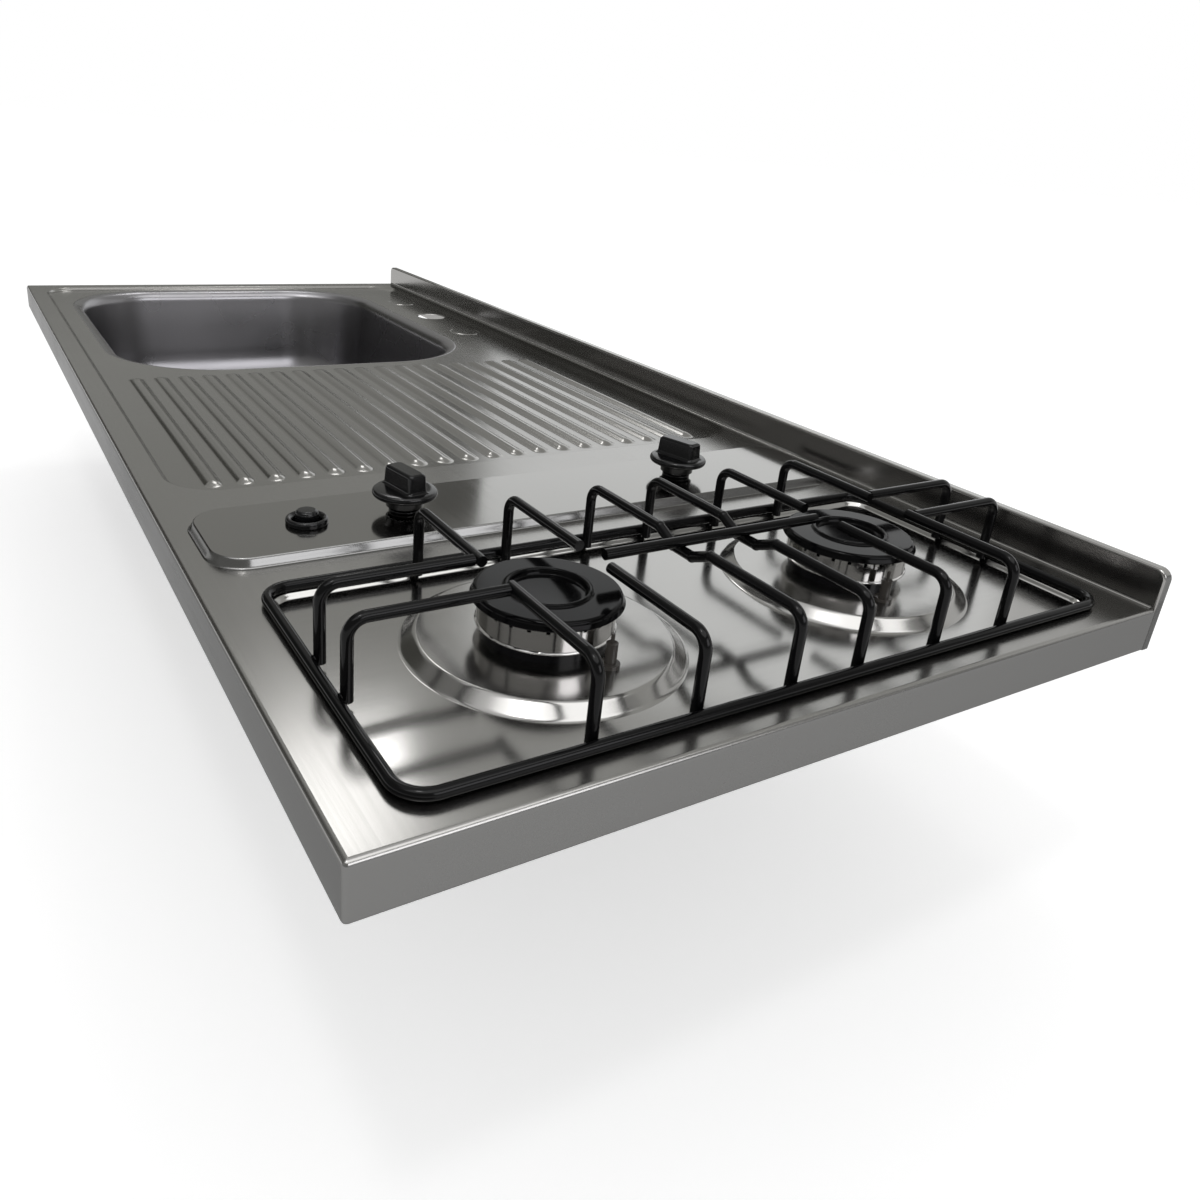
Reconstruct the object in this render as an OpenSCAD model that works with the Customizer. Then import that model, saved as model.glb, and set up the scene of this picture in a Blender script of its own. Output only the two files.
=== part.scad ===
// Kitchenette worktop in pressed stainless steel: sink bowl with drainer on the left,
// two-burner gas hob with its control panel on the right, and a low upstand at the back.
// Millimetres. +X runs to the hob end, +Y to the wall, +Z up.
// The origin lies on the seat under the front edge, halfway along it.

/* [Worktop] */
// Length of the worktop, end to end
worktop_length = 1200; // [1170:10:1400]
// Depth of the worktop, front edge to wall
worktop_depth = 520; // [515:5:600]
// Height of the turned-down edge
flange_height = 28; // [24:1:40]
// Thickness of the pressed steel sheet
sheet = 1; // [0.8:0.1:1.2]
// Width of the hem that the worktop sits on
hem_width = 16; // [12:1:20]
// Height of the upstand above the worktop
upstand_height = 25; // [15:1:60]
// Thickness of the folded upstand
upstand_thickness = 8; // [6:1:12]

/* [Sink field] */
// Depth of both pressed fields below the worktop
press_depth = 3; // [2:0.5:5]
// Gap between the sink field and the control panel
field_gap = 43; // [30:1:60]
// Border in front of and behind the sink field
sink_field_edge = 19; // [14:1:26]
// Corner radius of the sink and drainer field
sink_field_corner = 34; // [20:1:45]
// Border left of the sink field
sink_field_margin = 20; // [14:1:26]
// Spacing of the drainer ribs
rib_pitch = 21.8; // [16:0.1:22.2]
// Gap from the bowl to the drainer ribs
drainer_gap = 30.5; // [20:0.5:60]
// Least gap from the ribs to the sides of the field
rib_side_gap = 20; // [14:1:60]
// Width of a drainer rib
rib_width = 12; // [9:0.5:14]
// Height of a drainer rib
rib_height = 2.5; // [2:0.1:3]
// Gap from the drainer ribs to the end of the field
rib_end_gap = 14; // [8:1:20]

/* [Bowl] */
// Length of the bowl at its mouth
bowl_length = 434; // [400:2:450]
// Depth of the bowl below its mouth
bowl_depth = 140; // [110:5:180]
// Corner radius of the bowl
bowl_corner = 96; // [70:2:110]
// Radius between the bowl's walls and its floor
bowl_floor_radius = 46; // [24:2:46]
// How much each wall of the bowl leans in
bowl_draft = 9; // [6:1:14]
// From the left end of the worktop to the bowl's mouth
bowl_left_margin = 45.5; // [42:0.5:52]
// From the front edge to the bowl's mouth
bowl_front_margin = 53; // [46:1:60]
// From the bowl's mouth to the upstand
bowl_back_margin = 97; // [90:1:130]
// Width of the welding flange round the bowl
bowl_flange = 10; // [8:1:12]
// Diameter of the tap hole
tap_hole_d = 35; // [32:0.5:38]
// From the upstand to the middle of the tap hole
tap_from_upstand = 45; // [40:1:50]
// Distance of each blanked tap hole from the open one
tap_pitch = 101.6; // [95:0.1:110]
// Offset of the tap hole from the bowl's middle
tap_offset = -10; // [-20:1:10]

/* [Waste] */
// Diameter of the waste hole in the bowl
waste_hole_d = 90; // [86:1:96]
// Diameter of the strainer's flange
strainer_flange_d = 113; // [108:1:118]
// Depth of the strainer cup below the bowl
strainer_depth = 52; // [44:1:60]
// Diameter of the waste outlet's thread
outlet_d = 48; // [40:0.5:52]
// Length of the waste outlet
outlet_length = 30; // [24:1:50]

/* [Hob] */
// From the hob's middle to the right end of the worktop
hob_inset = 114; // [112:0.5:118]
// Length of the hob field, left to right
hob_field_length = 189; // [186:1:196]
// Border in front of and behind the hob field
hob_field_edge = 32; // [28:1:40]
// Corner radius of the hob field
hob_field_corner = 14; // [10:1:30]
// Distance between the two burners
burner_pitch = 215; // [200:1:220]
// Radius of the raised seat round a burner, at its foot
burner_rise_r = 74; // [70:1:80]
// Radius of the raised seat round a burner, at its top
burner_rise_top_r = 65.5; // [60:0.5:68]
// Height of the raised seat round a burner
burner_rise_h = 6; // [4:0.5:8]
// Radius of a burner cap
cap_r = 39.4; // [36:0.2:42]
// Thickness of a burner cap
cap_t = 4.2; // [3:0.1:5]
// Radius of the bead on a burner cap
cap_bead_r = 23; // [18:0.5:28]
// Radius of a burner head
head_r = 35.5; // [33:0.5:36]
// Height of a burner head
head_h = 13.7; // [12:0.1:15]
// Radius of the burner's foot under its head
foot_r = 33; // [30:0.5:34]
// Height of the burner's foot
foot_h = 5.5; // [3:0.1:6.5]
// Radius of the burner's mixing cup
cup_r = 27; // [25:0.5:28]
// Distance from a burner's middle to its spark electrode
electrode_radius = 44; // [43:0.5:48]
// Angle of the spark electrodes from the worktop's length
electrode_angle = 15; // [0:1:40]

/* [Controls] */
// From the control panel's middle to the right end of the worktop
panel_inset = 286; // [283:1:290]
// Width of the raised control panel
panel_width = 86; // [78:1:90]
// Border in front of and behind the control panel
panel_edge = 14; // [12:1:30]
// Height of the raised control panel
panel_height = 5.6; // [4:0.2:8]
// Corner radius of the control panel
panel_corner = 24; // [14:1:34]
// Distance between the two knobs
knob_pitch = 222; // [200:2:230]
// Diameter of a knob's disc
knob_d = 42; // [36:1:46]
// Thickness of a knob's disc
knob_disc_t = 3.6; // [3:0.2:6]
// Height of a knob's disc above the panel
knob_lift = 12; // [9.5:0.5:14]
// Diameter of a knob's neck
knob_neck_d = 24; // [14:0.5:28]
// Length of the knob's grip bar
grip_length = 28; // [24:1:36]
// Width of the knob's grip bar
grip_width = 12; // [9:0.5:14]
// Height of the knob's grip bar
grip_height = 12.4; // [9:0.1:16]
// Diameter of a valve stem
stem_d = 8; // [7:0.5:9]
// How far a knob pushes in before it turns
knob_travel = 3; // [2:0.5:4]
// From the front edge to the igniter button
igniter_from_front = 80.5; // [75:0.5:90]
// Diameter of the igniter's bezel
bezel_d = 26; // [22:0.5:28]
// Height of the igniter's bezel
bezel_h = 4; // [3:0.5:5]
// Diameter of the igniter button
button_d = 14; // [11:0.5:15]
// How far the igniter button stands above its bezel
button_rise = 4.5; // [4:0.5:6]
// How far the igniter button is pressed
button_travel = 3.5; // [2:0.5:4]

/* [Pan grate] */
// Diameter of the grate's wire
wire_d = 6; // [5:0.25:7]
// Height of the grate's top wires above the worktop
grate_height = 40.5; // [38:0.5:48]
// From the sides of the hob field out to the wire of the grate's frame
grate_side_reach = 1.5; // [1:0.1:4]
// From the ends of the hob field out to the wire of the grate's frame
grate_end_reach = 1.5; // [1:0.1:4]
// From a burner's middle to its outer side fingers
finger_outer_gap = 30.5; // [24:0.5:34]
// From a burner's middle to its inner side fingers
finger_inner_gap = 26.5; // [24:0.5:33]
// From the hob's middle to the cross bars
cross_bar_y = 23; // [18:0.5:30]
// From the hob's middle to the end fingers
end_finger_x = 18; // [14:0.5:24]
// From the hob's middle to the tips of the side fingers
side_tip_x = 14.5; // [11:0.5:20]
// From a burner's middle to the spine's end
spine_end_gap = 32.5; // [30:0.5:50]
// Corner radius of the grate's frame
frame_corner = 15; // [12:1:28]
// Radius of the bends in the wire
bend_r = 9; // [7:0.5:12]

/* [Underside] */
// Depth of the burner tray below the hob
tray_depth = 43; // [40:1:60]
// From the ends of the hob field to the burner tray
tray_end_inset = 16; // [14:1:20]
// From the right side of the hob field to the burner tray
tray_side_inset = 5.5; // [4:0.5:12]
// Radius of the gas manifold
manifold_r = 8; // [7:0.5:9]
// Radius of a gas pipe
pipe_r = 4; // [3:0.25:5]
// Radius of a gas valve's body
valve_r = 14; // [13:0.5:15]
// Diameter of the gas inlet's thread
inlet_thread_d = 21; // [17:0.5:22]
// Length of the gas inlet's thread
inlet_thread_l = 16; // [12:1:20]
// Height of the drainer stiffeners
stiffener_height = 14; // [10:1:18]
// Distance between the fixing holes along the worktop
fixing_pitch_x = 1000; // [960:10:1060]
// Diameter of the fixing holes
fixing_hole_d = 5; // [4:0.5:6]

/* [Hidden] */
$fn = 96;
eps = 0.01;
seat_gap = 0.3;
running_gap = 0.05;
side_gap = 0.3;

// Worktop levels and edges
top_z = flange_height;
field_z = top_z - press_depth;
field_under_z = field_z - sheet;
x_left = -worktop_length / 2;
x_right = worktop_length / 2;
y_front = -hem_width / 2;
y_back = y_front + worktop_depth;
y_wall = y_back - upstand_thickness;
flat_depth = y_wall - y_front;
mid_y = y_front + flat_depth / 2;

// Sink side
sink_field_end = x_right - panel_inset - panel_width / 2 - field_gap;
sink_field_length = sink_field_end - x_left - sink_field_margin;
sink_field_depth = flat_depth - 2 * sink_field_edge;
sink_field_x = sink_field_end - sink_field_length / 2;
bowl_width = flat_depth - bowl_front_margin - bowl_back_margin;
rib_start = x_left + bowl_left_margin + bowl_length + drainer_gap;
rib_length = sink_field_end - rib_end_gap - rib_start;
rib_x = rib_start + rib_length / 2;
rib_count = 1 + floor((sink_field_depth - 2 * rib_side_gap - rib_width) / rib_pitch);
rib_r = (pow(rib_width / 2, 2) + pow(rib_height, 2)) / (2 * rib_height);
bowl_x = x_left + bowl_left_margin + bowl_length / 2;
bowl_y = y_front + bowl_front_margin + bowl_width / 2;
bowl_floor_z = field_z - bowl_depth;
bowl_under_z = bowl_floor_z - sheet;
tap_x = bowl_x + tap_offset;
tap_y = y_wall - tap_from_upstand;
knockout_rise = 0.6;

pad_size = [90, 180, 3];
pad_offset = 115;

// Waste
strainer_flange_t = 2;
strainer_wall = 2;
waste_hole_gap = 1.5;
strainer_r = waste_hole_d / 2 - waste_hole_gap;
gasket_t = 3;
locknut_t = 8;
lug_size = [6, 8];
locknut_r = strainer_flange_d / 2 - waste_hole_gap * 2;
strainer_floor_z = bowl_under_z - strainer_depth;
basket_gap = 2;
basket_r = strainer_r - strainer_wall - basket_gap;
basket_wall = 1.2;
basket_rim_t = 1.5;
basket_rim_w = 1.5;
basket_drop = 4;
basket_post_r = 4;
basket_grip_r = 8;
basket_grip_h = 8;
drain_hole_r = 3;
drain_hole_ring = 13;
grid_rings = [[0.42, 8], [0.8, 16]];

// Hob
hob_x = x_right - hob_inset;
hob_field_depth = flat_depth - 2 * hob_field_edge;
burner_y = [mid_y - burner_pitch / 2, mid_y + burner_pitch / 2];
rise_z = field_z + burner_rise_h;
foot_z = rise_z + foot_h;
head_z = foot_z + seat_gap;
cap_z = head_z + head_h + seat_gap;
cap_edge = 1;
cap_lip_gap = 1;
cap_lip_h = 3;
cap_bead_h = 2;
cap_bead_w = 5;
cup_wall = 3;
cup_floor = 3;
head_wall = 3.5;
head_floor_h = 4;
head_deck = 5;
head_tube_gap = 2;
head_tube_r = cup_r - cup_wall - head_tube_gap;
head_tube_wall = 2;
head_tube_drop = 8;
flame_slots = 24;
slot_w = 2;
slot_h = 2.5;
cup_drop = 12;
cup_under_z = field_under_z - cup_drop;
injector_r = 5;
injector_top = 8;
injector_foot_r = 7.5;
injector_foot_h = 5;
injector_way_r = 2;
jet_r = 0.6;
burner_nut_w = 8;
burner_nut_r = cup_r + burner_nut_w;
burner_nut_t = 4;
electrode_r = 3;
electrode_shoulder_r = 5;
electrode_shoulder_h = 2;
electrode_tip_r = 1;
electrode_tip_l = 5;
electrode_top_z = cap_z - 2;
electrode_drop = 8;
electrode_foot_z = field_under_z - electrode_drop;
electrode_dx = electrode_radius * cos(electrode_angle);
electrode_dy = electrode_radius * sin(electrode_angle);

// Control panel, knobs and valves
panel_x = x_right - panel_inset;
panel_length = flat_depth - 2 * panel_edge;
panel_z = top_z + panel_height;
panel_under_z = panel_z - sheet;
knob_y = [mid_y - knob_pitch / 2, mid_y + knob_pitch / 2];
knob_disc_z = panel_z + knob_lift;
knob_clear = 2;
knob_neck_z = panel_z + knob_travel + knob_clear;
stem_r = stem_d / 2;
stem_hole_r = stem_r + 2;
stem_drop = 16;
stem_bottom_z = field_under_z - stem_drop;
stem_socket = 2;
stem_top_z = knob_disc_z + knob_disc_t + stem_socket;
stem_flat = 2;
valve_top_z = panel_under_z - seat_gap;
bush_h = 8;
valve_shoulder_z = valve_top_z - bush_h;
valve_roof = 2;
bush_r = stem_r + 4;
chamber_r = stem_r + 5;
collar_t = 3;
spring_gap = 1;
collar_top_z = valve_shoulder_z - valve_roof - seat_gap;
valve_spring_l = 7;
chamber_floor_z = collar_top_z - collar_t - knob_travel - valve_spring_l;
gas_drop = 28;
gas_z = field_under_z - gas_drop;
port_l = 6;
manifold_x = panel_x - valve_r - manifold_r - port_l;
inlet_block_l = 24;
inlet_block_r = manifold_r + 4;
inlet_shoulder_r = inlet_block_r - 0.5;
inlet_shoulder_z = gas_z - inlet_block_r - 1;
inlet_way_r = manifold_r - 2;
manifold_end_y = y_back - hem_width - inlet_block_l - 2;
manifold_wall = 1.5;
manifold_overhang = 24;
manifold_cap_t = 3;
port_r = 5.5;
valve_bottom_z = gas_z - port_r - 1.5;
outlet_x = panel_x + valve_r + port_l;
pipe_bend_r = 10;
pipe_nut_r = 7.5;
pipe_nut_l = 9;

// Igniter
igniter_y = y_front + igniter_from_front;
bezel_bore_r = button_d / 2 + running_gap;
bezel_wall = 2;
bezel_neck_r = button_d / 2 + bezel_wall;
bezel_neck_l = 9;
bezel_neck_z = panel_under_z - bezel_neck_l;
igniter_hole_r = bezel_neck_r + 0.2;
button_top_z = panel_z + bezel_h + button_rise;
button_bottom_z = bezel_neck_z + 2;
button_dome = 1.6;
button_dome_edge = 1.2;
bezel_edge = 1.2;
igniter_r = bezel_neck_r + 0.5;
button_spring_l = 8.5;
button_spring_w = 2;
igniter_floor_z = button_bottom_z - button_travel - button_spring_l;
igniter_bottom_z = igniter_floor_z - 12;
igniter_nut_t = 4;

// Grate
wire_r = wire_d / 2;
frame_z = top_z + wire_r + seat_gap;
wire_top_z = top_z + grate_height;
weld_gap = 0.05;
frame_half_x = hob_field_length / 2 + grate_side_reach;
frame_half_y = hob_field_depth / 2 + grate_end_reach;
upright_x = frame_half_x - wire_d - weld_gap;
upright_y = frame_half_y - wire_d - weld_gap;
finger_outer_y = burner_pitch / 2 + finger_outer_gap;
finger_inner_y = burner_pitch / 2 - finger_inner_gap;
spine_length = burner_pitch - 2 * spine_end_gap;
upright_bottom_z = top_z + seat_gap;
dip_z = wire_top_z - wire_d - weld_gap;
dip_flat = 8;
dip_run = 14;
ball_proud = 0.2;

// Tray and stiffening
tray_wall = 1;
tray_floor_z = field_under_z - tray_depth;
tray_rim_z = field_under_z - seat_gap;
tray_rim = 6;
tray_margin = 6;
tray_x0 = manifold_x - manifold_r - tray_margin;
tray_x1 = hob_x + hob_field_length / 2 - tray_side_inset;
tray_length = hob_field_depth - 2 * tray_end_inset;
tray_y0 = mid_y - tray_length / 2;
vent_size = [4, 40];
vent_pitch = 12;
stud_r = 2.5;
stud_hole_r = 2.8;
stud_nut_r = 4.6;
stud_nut_t = 4;
stud_end = 6;
stud_inset = 14;
stud_side_inset = 13;
stud_reach = hob_field_length / 2 - tray_side_inset - stud_side_inset;
stud_x = [hob_x - stud_reach, hob_x + stud_reach];
stud_y = [tray_y0 + stud_inset, mid_y, tray_y0 + tray_length - stud_inset];
lead_r = 1.5;
lead_z = tray_floor_z + tray_wall + lead_r + 1;
lead_bend = 5;
lead_apart = 4;
lead_turn_x = 40;
lead_turn_y = 30;
stiffener_w = 40;
stiffener_flange = 12;
stiffener_end_gap = 4;
stiffener_x = [rib_x - rib_length / 4, rib_x + rib_length / 4];
bracket_w = 30;
bracket_t = 1.5;
bracket_reach = 34;
bracket_past = 10;
fixing_from_hem = 16;
fixing_y = [y_front + hem_width + fixing_from_hem, y_back - hem_width - fixing_from_hem];

// ---------- shared shapes ----------

// Block with upright rounded corners, centred on X and Y, standing on z = 0
module rounded_block(length, width, height, radius) {
    translate([-length / 2 + radius, -width / 2, 0]) cube([length - 2 * radius, width, height]);
    translate([-length / 2, -width / 2 + radius, 0]) cube([length, width - 2 * radius, height]);
    for (sx = [-1, 1], sy = [-1, 1])
        translate([sx * (length / 2 - radius), sy * (width / 2 - radius), 0])
            cylinder(r = radius, h = height);
}

// Round ring standing on z = 0
module ring(outer, inner, height) {
    difference() {
        cylinder(r = outer, h = height);
        translate([0, 0, -eps]) cylinder(r = inner, h = height + 2 * eps);
    }
}

// Straight rod between two points that share two coordinates
module rod_x(from, length, radius) translate(from) rotate([0, 90, 0]) cylinder(r = radius, h = length);
module rod_y(from, length, radius) translate(from) rotate([-90, 0, 0]) cylinder(r = radius, h = length);
module rod_z(from, length, radius) translate(from) cylinder(r = radius, h = length);

// Straight rod between any two points
module strut(a, b, radius) {
    v = b - a;
    len = norm(v);
    translate(a) rotate([0, acos(v[2] / len), atan2(v[1], v[0])]) cylinder(r = radius, h = len);
}

function unit(v) = v / norm(v);
function bend_angle(p, i) = acos(unit(p[i] - p[i - 1]) * unit(p[i + 1] - p[i]));
function bend_trim(p, i, bend) = (i == 0 || i == len(p) - 1) ? 0 : bend * tan(bend_angle(p, i) / 2);

// Bent round wire through a list of points, with every inner corner bent to the given radius
module bent_wire(p, bend, radius) {
    for (i = [0 : len(p) - 2]) {
        u = unit(p[i + 1] - p[i]);
        strut(p[i] + u * bend_trim(p, i, bend), p[i + 1] - u * bend_trim(p, i + 1, bend), radius);
    }
    for (i = [1 : len(p) - 2]) {
        u = unit(p[i] - p[i - 1]);
        v = unit(p[i + 1] - p[i]);
        n = unit(v - (u * v) * u);
        w = cross(-n, u);
        c = p[i] - u * bend_trim(p, i, bend) + n * bend;
        multmatrix([[-n[0], u[0], w[0], c[0]], [-n[1], u[1], w[1], c[1]],
            [-n[2], u[2], w[2], c[2]], [0, 0, 0, 1]])
            rotate_extrude(angle = bend_angle(p, i)) translate([bend, 0])
                circle(r = radius, $fn = 32);
    }
}

// ---------- worktop ----------

module hemmed_shell() {
    difference() {
        union() {
            translate([x_left, y_front, 0]) cube([worktop_length, worktop_depth, top_z]);
            translate([x_left, y_wall, 0])
                cube([worktop_length, upstand_thickness, top_z + upstand_height]);
        }
        translate([x_left + sheet, y_front + sheet, sheet])
            cube([worktop_length - 2 * sheet, worktop_depth - 2 * sheet, top_z - 2 * sheet]);
        translate([x_left + sheet, y_wall + sheet, sheet])
            cube([worktop_length - 2 * sheet, upstand_thickness - 2 * sheet,
                top_z + upstand_height - 2 * sheet]);
        translate([x_left + hem_width, y_front + hem_width, -eps])
            cube([worktop_length - 2 * hem_width, worktop_depth - 2 * hem_width, sheet + 2 * eps]);
    }
}

module field_pan(grow, from_z, to_z) {
    translate([sink_field_x, mid_y, from_z])
        rounded_block(sink_field_length + 2 * grow, sink_field_depth + 2 * grow,
            to_z - from_z, sink_field_corner + grow);
    translate([hob_x, mid_y, from_z])
        rounded_block(hob_field_length + 2 * grow, hob_field_depth + 2 * grow,
            to_z - from_z, hob_field_corner + grow);
}

module drainer_ribs(radius) {
    for (i = [0 : rib_count - 1])
        translate([rib_x, mid_y + (i - (rib_count - 1) / 2) * rib_pitch, field_z + rib_height - rib_r]) {
            half = rib_length / 2 - rib_width / 2;
            rod_x([-half, 0, 0], 2 * half, radius);
            for (s = [-1, 1]) translate([s * half, 0, 0]) sphere(r = radius);
        }
}

module burner_rises(drop) {
    for (y = burner_y)
        translate([hob_x, y, field_z - drop])
            cylinder(r1 = burner_rise_r - drop, r2 = burner_rise_top_r - drop, h = burner_rise_h);
}

module panel_rise(drop) {
    translate([panel_x, mid_y, top_z - sheet - drop])
        rounded_block(panel_width - 2 * drop, panel_length - 2 * drop,
            panel_height + sheet, panel_corner - drop);
}

module above_field() {
    translate([x_left, y_front, field_under_z])
        cube([worktop_length, worktop_depth, press_depth + sheet + rib_height]);
}

module sheet_holes() {
    translate([bowl_x, bowl_y, field_under_z - eps])
        rounded_block(bowl_length, bowl_width, sheet + 2 * eps, bowl_corner);
    rod_z([tap_x, tap_y, field_under_z - eps], sheet + 2 * eps, tap_hole_d / 2);
    for (i = [0, 1]) {
        rod_z([hob_x, burner_y[i], field_under_z - 2], burner_rise_h + sheet + 4, cup_r + side_gap);
        rod_z([hob_x + electrode_dx, electrode_y(i), field_under_z], burner_rise_h + 4,
            electrode_r + side_gap);
        rod_z([panel_x, knob_y[i], top_z], panel_height + 2, stem_hole_r);
    }
    rod_z([panel_x, igniter_y, top_z], panel_height + 2, igniter_hole_r);
}

module worktop_sheet() {
    color("silver") difference() {
        union() {
            difference() {
                union() {
                    hemmed_shell();
                    field_pan(sheet, field_under_z, top_z);
                }
                field_pan(0, field_z, top_z + eps);
            }
            intersection() { drainer_ribs(rib_r); above_field(); }
            for (s = [-1, 1])
                rod_z([tap_x + s * tap_pitch, tap_y, field_z - sheet / 2],
                    knockout_rise + sheet / 2, tap_hole_d / 2);
            burner_rises(0);
            panel_rise(0);
        }
        drainer_ribs(rib_r - sheet);
        burner_rises(sheet);
        panel_rise(sheet);
        sheet_holes();
    }
}

// ---------- sink ----------

module tub(inset, top, floor_z) {
    corner = bowl_corner - inset;
    foot = corner - bowl_draft;
    round_r = bowl_floor_radius - inset;
    arc = [for (a = [-90 : 15 : 0])
        [foot - round_r + round_r * cos(a), floor_z + round_r + round_r * sin(a)]];
    hull() for (sx = [-1, 1], sy = [-1, 1])
        translate([sx * (bowl_length / 2 - bowl_corner), sy * (bowl_width / 2 - bowl_corner), 0]) {
            translate([0, 0, top - 1]) cylinder(r = corner, h = 1, $fn = 64);
            rotate_extrude($fn = 64) polygon(concat([[0, floor_z]], arc, [[0, floor_z + round_r]]));
        }
}

module sink_bowl() {
    color("silver") translate([bowl_x, bowl_y, 0]) difference() {
        union() {
            tub(-sheet, field_under_z, bowl_under_z);
            translate([0, 0, field_under_z - sheet])
                rounded_block(bowl_length + 2 * bowl_flange, bowl_width + 2 * bowl_flange, sheet,
                    bowl_corner + bowl_flange);
        }
        tub(0, field_under_z + 1, bowl_floor_z);
        rod_z([0, 0, bowl_under_z - 1], sheet + 2, waste_hole_d / 2);
    }
}

module bowl_damping_pads() {
    color("dimgray") for (s = [-1, 1])
        translate([bowl_x + s * pad_offset - pad_size[0] / 2, bowl_y - pad_size[1] / 2,
            bowl_under_z - pad_size[2]]) cube(pad_size);
}

module drainer_stiffeners() {
    run = sink_field_depth - 2 * stiffener_end_gap;
    inner_w = stiffener_w - 2 * stiffener_flange;
    color("gray") for (x = stiffener_x)
        translate([x, mid_y - run / 2, field_under_z]) {
            for (s = [-1, 1]) {
                translate([s * (stiffener_w / 2 - stiffener_flange / 2) - stiffener_flange / 2,
                    0, -sheet]) cube([stiffener_flange, run, sheet]);
                translate([s * (inner_w / 2 - sheet / 2) - sheet / 2, 0, -stiffener_height])
                    cube([sheet, run, stiffener_height]);
            }
            translate([-inner_w / 2, 0, -stiffener_height]) cube([inner_w, run, sheet]);
        }
}

module fixing_brackets() {
    color("gray") for (sx = [-1, 1], i = [0, 1])
        translate([sx * fixing_pitch_x / 2, fixing_y[i], sheet]) difference() {
            translate([-bracket_w / 2, i == 0 ? bracket_past - bracket_reach : -bracket_past, 0])
                cube([bracket_w, bracket_reach, bracket_t]);
            rod_z([0, 0, -1], bracket_t + 2, fixing_hole_d / 2);
        }
}

module strainer_body() {
    color("silver") translate([bowl_x, bowl_y, 0]) difference() {
        union() {
            rod_z([0, 0, bowl_floor_z], strainer_flange_t, strainer_flange_d / 2);
            rod_z([0, 0, strainer_floor_z], bowl_floor_z - strainer_floor_z + eps, strainer_r);
            rod_z([0, 0, strainer_floor_z - outlet_length], outlet_length + eps, outlet_d / 2);
        }
        rod_z([0, 0, strainer_floor_z + strainer_wall], strainer_depth + bowl_depth,
            strainer_r - strainer_wall);
        rod_z([0, 0, strainer_floor_z - outlet_length - 1], outlet_length + strainer_wall + 2,
            outlet_d / 2 - strainer_wall);
    }
}

module waste_gasket() {
    color("black") translate([bowl_x, bowl_y, bowl_under_z - gasket_t])
        ring(strainer_flange_d / 2, strainer_r + side_gap, gasket_t);
}

module waste_locknut() {
    color("gainsboro") translate([bowl_x, bowl_y, bowl_under_z - gasket_t - locknut_t])
        difference() {
            union() {
                cylinder(r = locknut_r, h = locknut_t);
                for (a = [0 : 45 : 315]) rotate(a)
                    translate([locknut_r - 2, -lug_size[1] / 2, 0])
                        cube([lug_size[0], lug_size[1], locknut_t]);
            }
            rod_z([0, 0, -1], locknut_t + 2, strainer_r + running_gap);
        }
}

module strainer_basket() {
    floor_z = strainer_floor_z + strainer_wall + seat_gap;
    height = bowl_floor_z - floor_z - basket_drop;
    post_top = height - basket_grip_h + 2;
    color("silver") translate([bowl_x, bowl_y, floor_z]) {
        difference() {
            union() {
                cylinder(r = basket_r, h = height);
                rod_z([0, 0, height - basket_rim_t], basket_rim_t, basket_r + basket_rim_w);
            }
            rod_z([0, 0, basket_wall], height + 1, basket_r - basket_wall);
            for (g = grid_rings, i = [0 : g[1] - 1]) rotate(i * 360 / g[1])
                rod_z([basket_r * g[0], 0, -1], basket_wall + 2, drain_hole_r);
            for (i = [0 : drain_hole_ring - 1]) rotate(i * 360 / drain_hole_ring)
                rod_x([basket_r - 6, 0, height * 0.4], 12, drain_hole_r);
        }
        cylinder(r = basket_post_r, h = post_top);
        rod_z([0, 0, post_top], basket_grip_h, basket_grip_r);
    }
}

// ---------- hob: burners ----------

// Y of a spark electrode: both stand on the side that faces the other burner
function electrode_y(i) = burner_y[i] + (i == 0 ? 1 : -1) * electrode_dy;

module burner_base(i) {
    color("dimgray") translate([hob_x, burner_y[i], 0]) difference() {
        union() {
            rod_z([0, 0, rise_z], foot_h, foot_r);
            rod_z([0, 0, cup_under_z], rise_z - cup_under_z + eps, cup_r);
        }
        rod_z([0, 0, cup_under_z + cup_floor], rise_z - cup_under_z + foot_h, cup_r - cup_wall);
        rod_z([0, 0, cup_under_z - 1], cup_floor + 2, injector_r + running_gap);
    }
}

module burner_nut(i) {
    color("gray") translate([hob_x, burner_y[i], rise_z - sheet - burner_nut_t])
        ring(burner_nut_r, cup_r + running_gap, burner_nut_t);
}

module injector(i) {
    color("goldenrod") translate([hob_x, burner_y[i], cup_under_z]) difference() {
        union() {
            rod_z([0, 0, 0], injector_top, injector_r);
            rod_z([0, 0, -injector_foot_h], injector_foot_h, injector_foot_r);
        }
        rod_z([0, 0, -injector_foot_h - 1], injector_foot_h + injector_top - 1, injector_way_r);
        rod_z([0, 0, -injector_foot_h], injector_foot_h + injector_top + 1, jet_r);
    }
}

module burner_head(i) {
    tube_top = head_floor_h + head_deck;
    color("gainsboro") translate([hob_x, burner_y[i], head_z]) difference() {
        union() {
            cylinder(r = head_r, h = head_h);
            rod_z([0, 0, -head_tube_drop], head_tube_drop + tube_top, head_tube_r);
        }
        rod_z([0, 0, tube_top], head_h, head_r - head_wall);
        rod_z([0, 0, -head_tube_drop - 1], head_h + head_tube_drop, head_tube_r - head_tube_wall);
        translate([0, 0, -eps]) ring(head_r - head_wall, head_tube_r + eps, head_floor_h);
        for (a = [0 : flame_slots - 1]) rotate(a * 360 / flame_slots)
            translate([head_r - head_wall - 1, -slot_w / 2, head_h - slot_h])
                cube([head_wall + 2, slot_w, slot_h + 1]);
    }
}

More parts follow.
